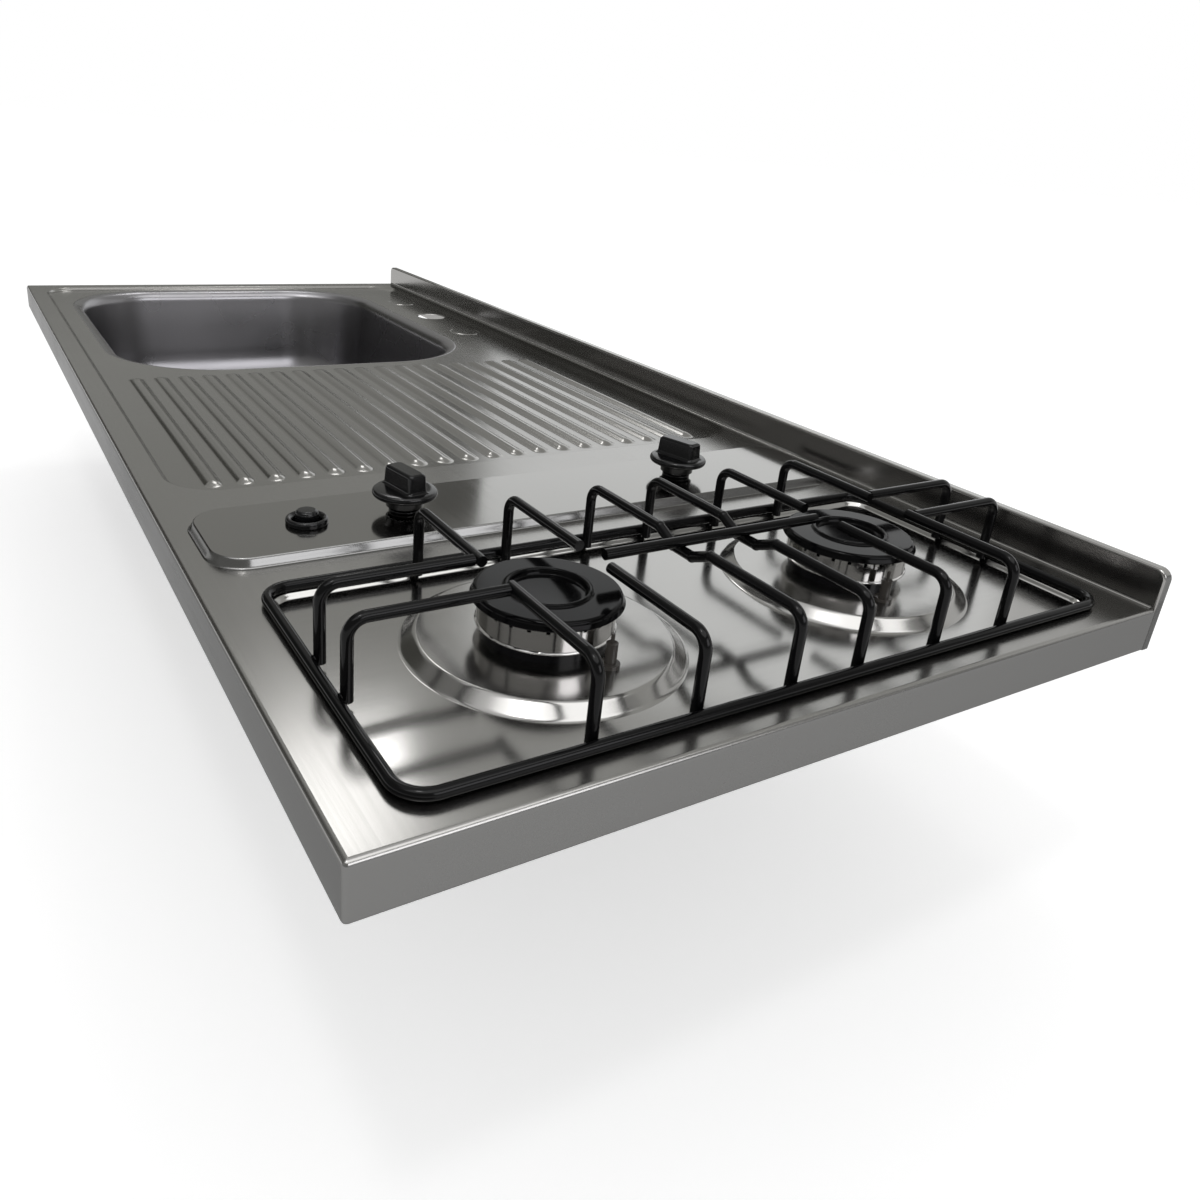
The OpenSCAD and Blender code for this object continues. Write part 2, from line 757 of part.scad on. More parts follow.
module burner_cap(i) {
    lip_r = head_r - head_wall - cap_lip_gap;
    color("black") translate([hob_x, burner_y[i], cap_z]) {
        cylinder(r = cap_r, h = cap_t - cap_edge);
        rod_z([0, 0, cap_t - cap_edge], cap_edge, cap_r - cap_edge);
        rod_z([0, 0, -cap_lip_h], cap_lip_h + eps, lip_r);
        translate([0, 0, cap_t - eps]) ring(cap_bead_r, cap_bead_r - cap_bead_w, cap_bead_h);
    }
}

module spark_electrode(i) {
    color("white") translate([hob_x + electrode_dx, electrode_y(i), 0]) {
        rod_z([0, 0, electrode_foot_z], electrode_top_z - electrode_tip_l - electrode_foot_z,
            electrode_r);
        rod_z([0, 0, rise_z], electrode_shoulder_h, electrode_shoulder_r);
        rod_z([0, 0, electrode_top_z - electrode_tip_l - eps], electrode_tip_l + eps,
            electrode_tip_r);
    }
}

// ---------- hob: gas ----------

module gas_manifold() {
    y0 = knob_y[0] - manifold_overhang;
    length = manifold_end_y - y0;
    color("silver") difference() {
        rod_y([manifold_x, y0, gas_z], length, manifold_r);
        rod_y([manifold_x, y0 + manifold_cap_t, gas_z], length, manifold_r - manifold_wall);
        for (y = knob_y) rod_x([manifold_x, y, gas_z], manifold_r + 2, port_r + running_gap);
    }
}

// Elbow at the manifold's rear end, with its thread pointing down
module gas_inlet() {
    middle_y = manifold_end_y + inlet_block_l / 2;
    thread_z = inlet_shoulder_z - inlet_thread_l;
    color("goldenrod") difference() {
        union() {
            rod_y([manifold_x, manifold_end_y, gas_z], inlet_block_l, inlet_block_r);
            rod_z([manifold_x, middle_y, inlet_shoulder_z], gas_z - inlet_shoulder_z,
                inlet_shoulder_r);
            rod_z([manifold_x, middle_y, thread_z], inlet_thread_l + eps, inlet_thread_d / 2);
        }
        rod_y([manifold_x, manifold_end_y - 1, gas_z], inlet_block_l / 2 + 1, inlet_way_r);
        rod_z([manifold_x, middle_y, thread_z - 1], gas_z - thread_z + 1, inlet_way_r);
    }
}

module gas_valve(i) {
    color("darkgoldenrod") difference() {
        union() {
            rod_z([panel_x, knob_y[i], valve_bottom_z], valve_shoulder_z - valve_bottom_z, valve_r);
            rod_z([panel_x, knob_y[i], valve_shoulder_z - eps], valve_top_z - valve_shoulder_z, bush_r);
            rod_x([manifold_x + manifold_r - 2, knob_y[i], gas_z],
                panel_x - manifold_x - manifold_r + 2, port_r);
            rod_x([panel_x, burner_y[i], gas_z], outlet_x - panel_x, port_r);
        }
        rod_z([panel_x, knob_y[i], stem_bottom_z - knob_travel - 1],
            valve_top_z - stem_bottom_z + knob_travel + 2, stem_r + running_gap);
        rod_z([panel_x, knob_y[i], chamber_floor_z], collar_top_z + seat_gap - chamber_floor_z,
            chamber_r);
    }
}

module valve_spring(i) {
    color("silver") translate([panel_x, knob_y[i], chamber_floor_z + seat_gap])
        ring(chamber_r - spring_gap, stem_r + spring_gap,
            collar_top_z - collar_t - chamber_floor_z - 2 * seat_gap);
}

module valve_collar(i) {
    color("goldenrod") translate([panel_x, knob_y[i], collar_top_z - collar_t])
        ring(chamber_r - running_gap, stem_r + running_gap, collar_t);
}

module valve_stem(i) {
    color("silver") difference() {
        rod_z([panel_x, knob_y[i], stem_bottom_z], stem_top_z - stem_bottom_z, stem_r);
        translate([panel_x - stem_r, knob_y[i] + stem_r - stem_flat, knob_neck_z])
            cube([stem_d, stem_d, stem_top_z]);
    }
}

module knob(i) {
    color("black") translate([panel_x, knob_y[i], 0]) difference() {
        union() {
            rod_z([0, 0, knob_neck_z], knob_disc_z - knob_neck_z + eps, knob_neck_d / 2);
            rod_z([0, 0, knob_disc_z], knob_disc_t, knob_d / 2);
            translate([-grip_length / 2, -grip_width / 2, knob_disc_z + knob_disc_t - eps])
                cube([grip_length, grip_width, grip_height]);
        }
        difference() {
            rod_z([0, 0, knob_neck_z - 1], stem_top_z - knob_neck_z + 1, stem_r);
            translate([-stem_r, stem_r - stem_flat, knob_neck_z - 2])
                cube([stem_d, stem_d, stem_top_z]);
        }
    }
}

module gas_pipe(i) {
    color("silver") {
        bent_wire([[outlet_x, burner_y[i], gas_z], [hob_x, burner_y[i], gas_z],
            [hob_x, burner_y[i], cup_under_z - injector_foot_h]], pipe_bend_r, pipe_r);
        rod_x([outlet_x, burner_y[i], gas_z], pipe_nut_l, pipe_nut_r);
    }
}

// ---------- hob: ignition ----------

module igniter_bezel() {
    color("black") translate([panel_x, igniter_y, 0]) difference() {
        union() {
            rod_z([0, 0, panel_z], bezel_h - bezel_edge, bezel_d / 2);
            rod_z([0, 0, panel_z + bezel_h - bezel_edge - eps], bezel_edge + eps,
                bezel_d / 2 - bezel_edge);
            rod_z([0, 0, bezel_neck_z], panel_z - bezel_neck_z + eps, bezel_neck_r);
        }
        rod_z([0, 0, bezel_neck_z - 1], panel_z + bezel_h - bezel_neck_z + 2, bezel_bore_r);
    }
}

module igniter_nut() {
    color("dimgray") translate([panel_x, igniter_y, panel_under_z - igniter_nut_t])
        ring(bezel_d / 2, bezel_neck_r + running_gap, igniter_nut_t);
}

module igniter_button() {
    color("black") translate([panel_x, igniter_y, 0]) {
        rod_z([0, 0, button_bottom_z], button_top_z - button_dome - button_bottom_z, button_d / 2);
        rod_z([0, 0, button_top_z - button_dome - eps], button_dome + eps,
            button_d / 2 - button_dome_edge);
    }
}

module igniter_body() {
    color("dimgray") translate([panel_x, igniter_y, 0]) difference() {
        rod_z([0, 0, igniter_bottom_z], bezel_neck_z - igniter_bottom_z, igniter_r);
        rod_z([0, 0, igniter_floor_z], bezel_neck_z, bezel_bore_r);
    }
}

module igniter_spring() {
    color("silver") translate([panel_x, igniter_y, igniter_floor_z + seat_gap])
        ring(button_d / 2 - spring_gap, button_d / 2 - spring_gap - button_spring_w,
            button_bottom_z - igniter_floor_z - 2 * seat_gap);
}

module ignition_leads() {
    x_end = hob_x + electrode_dx;
    x_mid = panel_x + lead_turn_x;
    y_mid = igniter_y + lead_turn_y;
    x_front = panel_x + lead_apart;
    x_rear = panel_x - lead_apart;
    foot = igniter_bottom_z;
    color("firebrick") {
        bent_wire([[x_front, igniter_y, foot], [x_front, igniter_y, lead_z],
            [x_end, igniter_y, lead_z], [x_end, electrode_y(0), lead_z],
            [x_end, electrode_y(0), electrode_foot_z]], lead_bend, lead_r);
        bent_wire([[x_rear, igniter_y, foot], [x_rear, igniter_y, lead_z],
            [x_rear, y_mid, lead_z], [x_mid, y_mid, lead_z],
            [x_mid, electrode_y(1), lead_z], [x_end, electrode_y(1), lead_z],
            [x_end, electrode_y(1), electrode_foot_z]], lead_bend, lead_r);
    }
}

// ---------- hob: tray ----------

module burner_tray() {
    length = tray_x1 - tray_x0;
    color("gray") difference() {
        union() {
            translate([tray_x0, tray_y0, tray_floor_z])
                cube([length, tray_length, tray_rim_z - tray_floor_z]);
            translate([tray_x0 - tray_rim, tray_y0 - tray_rim, tray_rim_z - tray_wall])
                cube([length + 2 * tray_rim, tray_length + 2 * tray_rim, tray_wall]);
        }
        translate([tray_x0 + tray_wall, tray_y0 + tray_wall, tray_floor_z + tray_wall])
            cube([length - 2 * tray_wall, tray_length - 2 * tray_wall, tray_rim_z - tray_floor_z]);
        for (x = stud_x, y = stud_y) rod_z([x, y, tray_floor_z - 1], tray_wall + 2, stud_hole_r);
        rod_y([manifold_x, tray_y0 + tray_length - 5, gas_z], 10, manifold_r + side_gap);
        for (y = burner_y, dx = [-vent_pitch, 0, vent_pitch])
            translate([hob_x + dx - vent_size[0] / 2, y - vent_size[1] / 2, tray_floor_z - 1])
                cube([vent_size[0], vent_size[1], tray_wall + 2]);
    }
}

module tray_studs() {
    color("silver") for (x = stud_x, y = stud_y) translate([x, y, tray_floor_z]) {
        rod_z([0, 0, -stud_end], field_under_z - tray_floor_z + stud_end, stud_r);
        rod_z([0, 0, -stud_nut_t], stud_nut_t, stud_nut_r);
    }
}

// ---------- pan grate ----------

module grate_frame() {
    straight_x = 2 * (frame_half_x - frame_corner);
    straight_y = 2 * (frame_half_y - frame_corner);
    color("black") translate([hob_x, mid_y, frame_z]) {
        for (s = [-1, 1]) {
            rod_x([-straight_x / 2, s * frame_half_y, 0], straight_x, wire_r);
            rod_y([s * frame_half_x, -straight_y / 2, 0], straight_y, wire_r);
        }
        for (q = [0 : 3]) rotate(q * 90)
            translate([(q % 2 == 0 ? straight_x : straight_y) / 2,
                (q % 2 == 0 ? straight_y : straight_x) / 2, 0])
                rotate_extrude(angle = 90) translate([frame_corner, 0]) circle(r = wire_r, $fn = 32);
    }
}

// Wire that stands beside the frame, bends over and reaches towards +X
module finger(reach) {
    bent_wire([[0, 0, upright_bottom_z], [0, 0, wire_top_z], [reach, 0, wire_top_z]],
        bend_r, wire_r);
}

module grate_side_fingers() {
    color("black") for (s = [-1, 1], y = [finger_inner_y, finger_outer_y], side = [0, 180])
        translate([hob_x, mid_y + s * y, 0]) rotate(side) translate([-upright_x, 0, 0])
            finger(upright_x - side_tip_x);
}

module grate_end_fingers() {
    reach = upright_y - finger_outer_y - wire_r - weld_gap;
    color("black") for (s = [-1, 1], turn = [90, -90])
        translate([hob_x + s * end_finger_x, mid_y, 0]) rotate(turn)
            translate([-upright_y, 0, 0]) finger(reach);
}

// Middle of a cross bar, which dips under the spine, with a ball at each corner
module dip() {
    half = dip_flat + dip_run;
    p = [[-half, 0, wire_top_z], [-dip_flat, 0, dip_z],
        [dip_flat, 0, dip_z], [half, 0, wire_top_z]];
    for (i = [0 : 2]) strut(p[i], p[i + 1], wire_r);
    for (c = p) translate(c) sphere(r = wire_r + ball_proud, $fn = 32);
}

module grate_cross_bars() {
    color("black") for (s = [-1, 1]) translate([hob_x, mid_y + s * cross_bar_y, 0]) {
        for (side = [0, 180]) rotate(side) translate([-upright_x, 0, 0])
            finger(upright_x - dip_flat - dip_run);
        dip();
    }
}

module grate_spine() {
    color("black") rod_y([hob_x, mid_y - spine_length / 2, wire_top_z], spine_length, wire_r);
}

worktop_sheet();
sink_bowl();
bowl_damping_pads();
drainer_stiffeners();
fixing_brackets();
strainer_body();
strainer_basket();
waste_gasket();
waste_locknut();
burner_tray();
tray_studs();
gas_manifold();
gas_inlet();
gas_valve(0);  // gas_valve_front
gas_valve(1);  // gas_valve_rear
valve_collar(0);  // valve_collar_front
valve_collar(1);  // valve_collar_rear
valve_spring(0);  // valve_spring_front
valve_spring(1);  // valve_spring_rear
valve_stem(0);  // valve_stem_front
valve_stem(1);  // valve_stem_rear
knob(0);  // knob_front
knob(1);  // knob_rear
burner_base(0);  // burner_base_front
burner_base(1);  // burner_base_rear
burner_nut(0);  // burner_nut_front
burner_nut(1);  // burner_nut_rear
injector(0);  // injector_front
injector(1);  // injector_rear
gas_pipe(0);  // gas_pipe_front
gas_pipe(1);  // gas_pipe_rear
burner_head(0);  // burner_head_front
burner_head(1);  // burner_head_rear
burner_cap(0);  // burner_cap_front
burner_cap(1);  // burner_cap_rear
spark_electrode(0);  // spark_electrode_front
spark_electrode(1);  // spark_electrode_rear
ignition_leads();
igniter_bezel();
igniter_nut();
igniter_body();
igniter_spring();
igniter_button();
grate_frame();
grate_cross_bars();
grate_spine();
grate_side_fingers();
grate_end_fingers();
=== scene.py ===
import math

import bmesh
import bpy
from mathutils import Matrix, Vector
from mathutils.geometry import delaunay_2d_cdt


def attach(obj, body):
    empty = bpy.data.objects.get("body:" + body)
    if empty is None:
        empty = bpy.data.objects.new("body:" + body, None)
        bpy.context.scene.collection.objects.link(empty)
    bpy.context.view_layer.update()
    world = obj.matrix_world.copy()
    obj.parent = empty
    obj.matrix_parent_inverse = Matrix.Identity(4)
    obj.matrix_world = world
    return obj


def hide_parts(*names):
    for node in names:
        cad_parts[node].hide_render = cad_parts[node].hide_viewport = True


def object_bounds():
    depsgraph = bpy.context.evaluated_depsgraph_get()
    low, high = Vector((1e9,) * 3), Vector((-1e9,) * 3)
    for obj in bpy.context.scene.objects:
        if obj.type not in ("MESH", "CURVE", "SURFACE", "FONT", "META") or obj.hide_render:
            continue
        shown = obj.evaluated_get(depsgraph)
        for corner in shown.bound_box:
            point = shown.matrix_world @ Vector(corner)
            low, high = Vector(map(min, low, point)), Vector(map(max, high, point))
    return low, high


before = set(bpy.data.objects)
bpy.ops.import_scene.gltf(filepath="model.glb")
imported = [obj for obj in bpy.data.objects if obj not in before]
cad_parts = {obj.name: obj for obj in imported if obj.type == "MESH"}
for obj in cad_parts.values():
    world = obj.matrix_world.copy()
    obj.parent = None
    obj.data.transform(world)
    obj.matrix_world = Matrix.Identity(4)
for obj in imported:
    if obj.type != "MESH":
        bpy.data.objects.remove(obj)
CAD_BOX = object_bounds()
MM = 0.001

# ---------- sizes in millimetres, in the CAD frame ----------
# worktop sheet
X_LEFT, X_RIGHT = -600.0, 600.0
Y_FRONT, Y_WALL, Y_BACK = -8.0, 504.0, 512.0
MID_Y = 248.0
TOP, FIELD, UPSTAND_TOP = 28.0, 25.0, 53.0
EDGE_R, EDGE_CORNER_R = 3.0, 2.5
EDGE_FOOT = [(0, 20), (0, 10), (0, 1.2), (0.35, 0.35), (1.2, 0), (16, 0)]
BORDER_BACK = Y_WALL - 2
BEND = ((BORDER_BACK, TOP), (502.8, 28.15), (503.5, 28.6), (503.9, 29.3), (Y_WALL, 30.2))
UPSTAND_R, UPSTAND_ROUND = 7.0, 1.6
STEP = 4.0

# sink field, its ribs, and its round pressings as (radius, height above the field)
SINK_X, SINK_Y, SINK_R = (-580.0, 228.0), (10.5, 501.0), 38.0
SINK_STEP, SINK_SLOPE = 4.5, 21.0
RIB_COUNT, RIB_PITCH, RIB_X, RIB_HALF, RIB_TAPER = 20, 21.8, (-90.0, 214.0), 6.0, 1.6
RIB_PROFILE = ((-1.6, 0.0), (-0.6, 0.12), (0.3, 0.5), (1.2, 1.05), (2.4, 1.7), (3.6, 2.15), (4.8, 2.42),
               (5.8, 2.5))
TAP = (-347.5, 459.0)
TAP_PITCH = 101.6
TAP_HOLE = ((18.6, 0.0), (17.9, -0.2), (17.5, -0.9))
BLANK = ((19.0, 0.0), (18.5, -0.35), (18.0, 0.0), (17.2, 0.4))
BOWL_X, BOWL_Y, BOWL_FLOOR = -337.5, 226.0, -115.0
BOWL_HALF_X, BOWL_HALF_Y, BOWL_R = 216.5, 181.0, 96.0
BOWL_ROLL, BOWL_DRAFT, BOWL_ROUND, BOWL_SHEET, WASTE_R = 13.0, 8.5, 58.0, 1.0, 45.0

# hob field, burners and grate
HOB_X, HOB_HALF_X, HOB_HALF_Y, HOB_R = 486.0, 94.5, 224.0, 14.0
BURNERS = {"front": (486.0, 140.5), "rear": (486.0, 355.5)}
RISE_Z, RISE_R, RISE_SLOPE, RISE_SOFT = 31.0, 74.5, 9.5, 0.22
SEAT_MID_R, SEAT_HOLE_R = 40.0, 27.3
LIP_Z, CAP_Z, CAP_R = 36.8, 50.8, 39.4
UPRIGHT_X, UPRIGHT_Y = 89.95, 219.45
FINGER_Y, CROSS_BAR_Y, END_FINGER_X = (81.0, 138.0), 23.0, 18.0
WELD_Z, WELD_R, WELD_OUT = 30.6, 2.2, 3.0

# control strip, knobs and igniter
PANEL_X, PANEL_Y, PANEL_R, PANEL_Z = (271.0, 357.0), (6.0, 490.0), 24.0, 33.6
KNOBS = {"front": (314.0, 137.0), "rear": (314.0, 359.0)}
STEM_HOLE_R, IGNITER_HOLE_R = 6.0, 9.0
KNOB_DISC_Z, KNOB_TOP, SKIRT_Z = 45.6, 61.6, 37.3
GRIP_X, GRIP_Y, GRIP_R = 15.5, 7.0, 2.6
GRIP_TURN = {"front": 10.0, "rear": 16.0}
IGNITER = (314.0, 72.5)

# ---------- materials ----------
STREAK_DEPTH, GRAIN_DEPTH = 0.0004, 0.0006
WAVE_SCALE, WAVE_SPREAD = (9, 9, 9), 0.02


def new_material(name):
    m = bpy.data.materials.new(name)
    m.use_nodes = True
    nt = m.node_tree
    nt.nodes.clear()
    out = nt.nodes.new("ShaderNodeOutputMaterial")
    bsdf = nt.nodes.new("ShaderNodeBsdfPrincipled")
    nt.links.new(bsdf.outputs["BSDF"], out.inputs["Surface"])
    return m, nt, bsdf


def noise(nt, coordinate_scale, scale, detail):
    """Noise in the piece's own place, so that it stays on the piece when it moves."""
    tex = nt.nodes.new("ShaderNodeTexCoord")
    mapping = nt.nodes.new("ShaderNodeMapping")
    mapping.inputs["Scale"].default_value = coordinate_scale
    nt.links.new(tex.outputs["Object"], mapping.inputs["Vector"])
    n = nt.nodes.new("ShaderNodeTexNoise")
    n.inputs["Scale"].default_value = scale
    n.inputs["Detail"].default_value = detail
    nt.links.new(mapping.outputs["Vector"], n.inputs["Vector"])
    return n.outputs["Fac"]


def ramp(nt, value, low, high, to_low, to_high):
    r = nt.nodes.new("ShaderNodeMapRange")
    r.inputs["From Min"].default_value = low
    r.inputs["From Max"].default_value = high
    r.inputs["To Min"].default_value = to_low
    r.inputs["To Max"].default_value = to_high
    nt.links.new(value, r.inputs["Value"])
    return r.outputs["Result"]


def bump(nt, height, strength, distance):
    b = nt.nodes.new("ShaderNodeBump")
    b.inputs["Strength"].default_value = strength
    b.inputs["Distance"].default_value = distance
    nt.links.new(height, b.inputs["Height"])
    return b.outputs["Normal"]


def steel(name, colour, rough, streak_scale, rough_spread=0.02, bump_strength=0.0, edge=1.0):
    """Rolled stainless steel: fine streaks, a slow waviness, and edge for its brightness at a low angle."""
    m, nt, bsdf = new_material(name)
    bsdf.inputs["Base Color"].default_value = (*colour, 1)
    bsdf.inputs["Metallic"].default_value = 1.0
    bsdf.inputs["Specular Tint"].default_value = (edge, edge, edge, 1)
    fine = noise(nt, streak_scale, 1.0, 4.0)
    slow = noise(nt, WAVE_SCALE, 1.0, 2.0)
    mix = nt.nodes.new("ShaderNodeMath")
    mix.operation = "ADD"
    nt.links.new(ramp(nt, fine, 0.3, 0.7, -rough_spread, rough_spread), mix.inputs[0])
    nt.links.new(ramp(nt, slow, 0.3, 0.7, rough - WAVE_SPREAD, rough + WAVE_SPREAD), mix.inputs[1])
    nt.links.new(mix.outputs[0], bsdf.inputs["Roughness"])
    nt.links.new(bump(nt, fine, bump_strength, STREAK_DEPTH), bsdf.inputs["Normal"])
    return m


def plain(name, colour, metallic, rough, specular=0.5, grain=0.0, grain_scale=900.0):
    """One colour all over, with a fine uneven grain where grain is given."""
    m, nt, bsdf = new_material(name)
    bsdf.inputs["Base Color"].default_value = (*colour, 1)
    bsdf.inputs["Metallic"].default_value = metallic
    bsdf.inputs["Roughness"].default_value = rough
    bsdf.inputs["Specular IOR Level"].default_value = specular
    if grain:
        height = noise(nt, (1, 1, 1), grain_scale, 3.0)
        nt.links.new(bump(nt, height, grain, GRAIN_DEPTH), bsdf.inputs["Normal"])
    return m


# Painted light and shade: every region is one rolled steel, and the base colours and edges that differ
# between regions are lit and shaded copies of it, set to how light falls on each. The hob and burner seats
# get a lighter copy, and the bowl a darker, faintly blue copy.
MAT = {
    "worktop": steel("steel_worktop", (0.31, 0.305, 0.295), 0.23, (6, 700, 700), 0.012, 0.0015),
    # painted shade: darker copy of the sheet steel, with a weaker edge, for the turned-down edge and the
    # upstand's ends
    "flange": steel("steel_flange_painted_shade", (0.185, 0.184, 0.18), 0.26, (6, 700, 700), 0.015, 0.0, 0.5),
    # painted shade: darker copy of the sheet steel, with a weaker edge, for the slope of the control strip's
    # raised step
    "slope": steel("steel_slope_painted_shade", (0.19, 0.189, 0.185), 0.2, (90, 90, 90), 0.0, 0.0, 0.7),
    "upstand": steel("steel_upstand", (0.29, 0.285, 0.275), 0.20, (6, 90, 90), 0.0, 0.0),
    "hob": steel("steel_hob", (0.36, 0.355, 0.345), 0.145, (500, 8, 500), 0.012, 0.003),
    "seat": steel("steel_seat", (0.36, 0.355, 0.345), 0.19, (90, 90, 90), 0.02, 0.0),
    "panel": steel("steel_panel", (0.29, 0.285, 0.275), 0.11, (6, 700, 700), 0.01, 0.002),
    "field": steel("steel_field", (0.28, 0.275, 0.265), 0.20, (6, 500, 500), 0.008, 0.001),
    "bowl": steel("steel_bowl", (0.23, 0.226, 0.234), 0.28, (9, 9, 9), 0.01, 0.0),
    "plain_steel": steel("steel_plain", (0.36, 0.36, 0.36), 0.42, (60, 60, 60)),
    "bright": plain("steel_bright", (0.55, 0.55, 0.55), 1.0, 0.12),
    "alloy": plain("polished_alloy", (0.62, 0.61, 0.60), 1.0, 0.09, grain=0.02, grain_scale=400),
    "enamel": plain("black_enamel", (0.003, 0.003, 0.0033), 0.0, 0.13, 0.15, 0.04, 260),
    "cap": plain("black_cap", (0.002, 0.002, 0.0022), 0.0, 0.10, 0.08, 0.01, 200),
    "dark": plain("dark_casting", (0.004, 0.004, 0.005), 0.0, 0.16, 0.2, 0.03),
    "knob": plain("black_knob", (0.004, 0.004, 0.0045), 0.0, 0.16, 0.3, 0.015, 300),
    "ceramic": plain("dark_ceramic", (0.05, 0.045, 0.04), 0.0, 0.2),
    "brass": plain("machined_brass", (0.50, 0.36, 0.14), 1.0, 0.28),
    "rubber": plain("black_rubber", (0.02, 0.02, 0.02), 0.0, 0.7),
    "pad": plain("damping_pad", (0.07, 0.07, 0.075), 0.0, 0.85, grain=0.3, grain_scale=500),
    "grey_plastic": plain("grey_plastic", (0.33, 0.34, 0.35), 0.0, 0.5),
    "lead": plain("red_lead", (0.32, 0.03, 0.025), 0.0, 0.45),
}

NODE_MATERIAL = {
    "plain_steel": ["drainer_stiffeners", "fixing_brackets", "burner_tray", "tray_studs"],
    "bright": ["strainer_body", "strainer_basket", "gas_manifold", "gas_pipe_front", "gas_pipe_rear",
               "valve_spring_front", "valve_spring_rear", "valve_stem_front", "valve_stem_rear",
               "igniter_spring", "burner_nut_front", "burner_nut_rear"],
    "brass": ["gas_inlet", "gas_valve_front", "gas_valve_rear", "valve_collar_front",
              "valve_collar_rear", "injector_front", "injector_rear"],
    "rubber": ["waste_gasket"],
    "pad": ["bowl_damping_pads"],
    "grey_plastic": ["waste_locknut", "igniter_nut", "igniter_body"],
    "lead": ["ignition_leads"],
    "worktop": ["worktop_sheet"],
    "bowl": ["sink_bowl"],
    "enamel": ["grate_frame", "grate_cross_bars", "grate_spine", "grate_side_fingers",
               "grate_end_fingers"],
    "cap": ["burner_cap_front", "burner_cap_rear"],
    "alloy": ["burner_head_front", "burner_head_rear"],
    "dark": ["burner_base_front", "burner_base_rear"],
    "knob": ["knob_front", "knob_rear", "igniter_bezel", "igniter_button"],
    "ceramic": ["spark_electrode_front", "spark_electrode_rear"],
}


def dress_nodes():
    for key, names in NODE_MATERIAL.items():
        for name in names:
            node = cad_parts[name]
            node.data.materials.clear()
            node.data.materials.append(MAT[key])


# ---------- outlines, as lists of points in millimetres ----------
def rounded_rect(x0, x1, y0, y1, r, z, n=10):
    """Anticlockwise points of a rectangle with rounded corners."""
    r = max(r, 0.01)
    pts = []
    for cx, cy, a0 in ((x1 - r, y0 + r, -90), (x1 - r, y1 - r, 0), (x0 + r, y1 - r, 90),
                       (x0 + r, y0 + r, 180)):
        for i in range(n + 1):
            a = math.radians(a0 + 90 * i / n)
            pts.append((cx + r * math.cos(a), cy + r * math.sin(a), z))
    return pts


def stadium(x0, x1, y, half, z, n=8):
    return rounded_rect(x0, x1, y - half, y + half, half, z, n)


def circle(cx, cy, r, z, n=96):
    return [(cx + r * math.cos(2 * math.pi * i / n), cy + r * math.sin(2 * math.pi * i / n), z)
            for i in range(n)]


def arc(cr, cz, r, a0, a1, n=6):
    """Part of a profile of (radius, z): an arc from angle a0 to a1, in degrees."""
    return [(cr + r * math.cos(math.radians(a0 + (a1 - a0) * i / n)),
             cz + r * math.sin(math.radians(a0 + (a1 - a0) * i / n))) for i in range(n + 1)]


def turn(points, cx, cy, angle):
    """Points turned about an upright axis, in degrees."""
    c, k = math.cos(math.radians(angle)), math.sin(math.radians(angle))
    return [(cx + (x - cx) * c - (y - cy) * k, cy + (x - cx) * k + (y - cy) * c, z) for x, y, z in points]


def step_unit(z0, z1, soft=0.5, n=7):
    """(t, z) with t from 0 to 1 across a step, level at both ends and straight between where soft < 0.5."""
    pts = []
    for i in range(2 * n + 1):
        t = i / (2 * n)
        if soft >= 0.5:
            s = t * t * (3 - 2 * t)
        else:
            k = 1 / (1 - soft)
            if t < soft:
                s = k * t * t / (2 * soft)
            elif t > 1 - soft:
                s = 1 - k * (1 - t) ** 2 / (2 * soft)
            else:
                s = k * (t - soft / 2)
        pts.append((t, z0 + (z1 - z0) * s))
    return pts


# ---------- mesh helpers ----------
def finish_object(name, bm, materials, body, replaces=(), weighted=True, thickness=0.0, closed=False):
    bmesh.ops.remove_doubles(bm, verts=bm.verts, dist=1e-6)
    if closed:
        bmesh.ops.recalc_face_normals(bm, faces=bm.faces)
    me = bpy.data.meshes.new(name)
    bm.to_mesh(me)
    bm.free()
    o = bpy.data.objects.new(name, me)
    bpy.context.scene.collection.objects.link(o)
    for m in materials:
        me.materials.append(MAT[m])
    if thickness:
        s = o.modifiers.new("thickness", "SOLIDIFY")
        s.thickness = thickness * MM
        s.offset = -1
    if weighted:
        w = o.modifiers.new("normals", "WEIGHTED_NORMAL")
        w.weight = 100
        w.keep_sharp = True
    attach(o, body)
    for node in replaces:
        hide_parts(node)


def add_loop(bm, points):
    return [bm.verts.new((x * MM, y * MM, z * MM)) for x, y, z in points]


def strip(bm, a, b, closed=True, index=0):
    """Smooth faces between two loops with the same number of points."""
    n = len(a)
    for i in range(n if closed else n - 1):
        j = (i + 1) % n
        quad = [a[i], a[j], b[j], b[i]]
        if len({tuple(v.co) for v in quad}) >= 3:
            try:
                f = bm.faces.new(quad)
            except ValueError:
                continue
            f.material_index = index
            f.smooth = True


def loft(bm, loops, closed=True, index=0):
    for a, b in zip(loops, loops[1:]):
        strip(bm, a, b, closed, index)


def fill(bm, rings, index=0):
    """Flat face, facing up, bounded by the first ring, with the other rings as holes."""
    verts = [v for ring in rings for v in ring]
    flat = [Vector((v.co.x / MM, v.co.y / MM)) for v in verts]
    outlines, start = [], 0
    for ring in rings:
        outlines.append(list(range(start, start + len(ring))))
        start += len(ring)
    got = delaunay_2d_cdt(flat, [], outlines, 1, 1e-5)
    source = [verts[orig[0]] for orig in got[3]]
    for tri, inside in zip(got[2], got[5]):
        if list(inside) != [0]:
            continue
        f = bm.faces.new([source[i] for i in tri])
        f.normal_update()
        if f.normal.z < 0:
            f.normal_flip()
        f.material_index = index


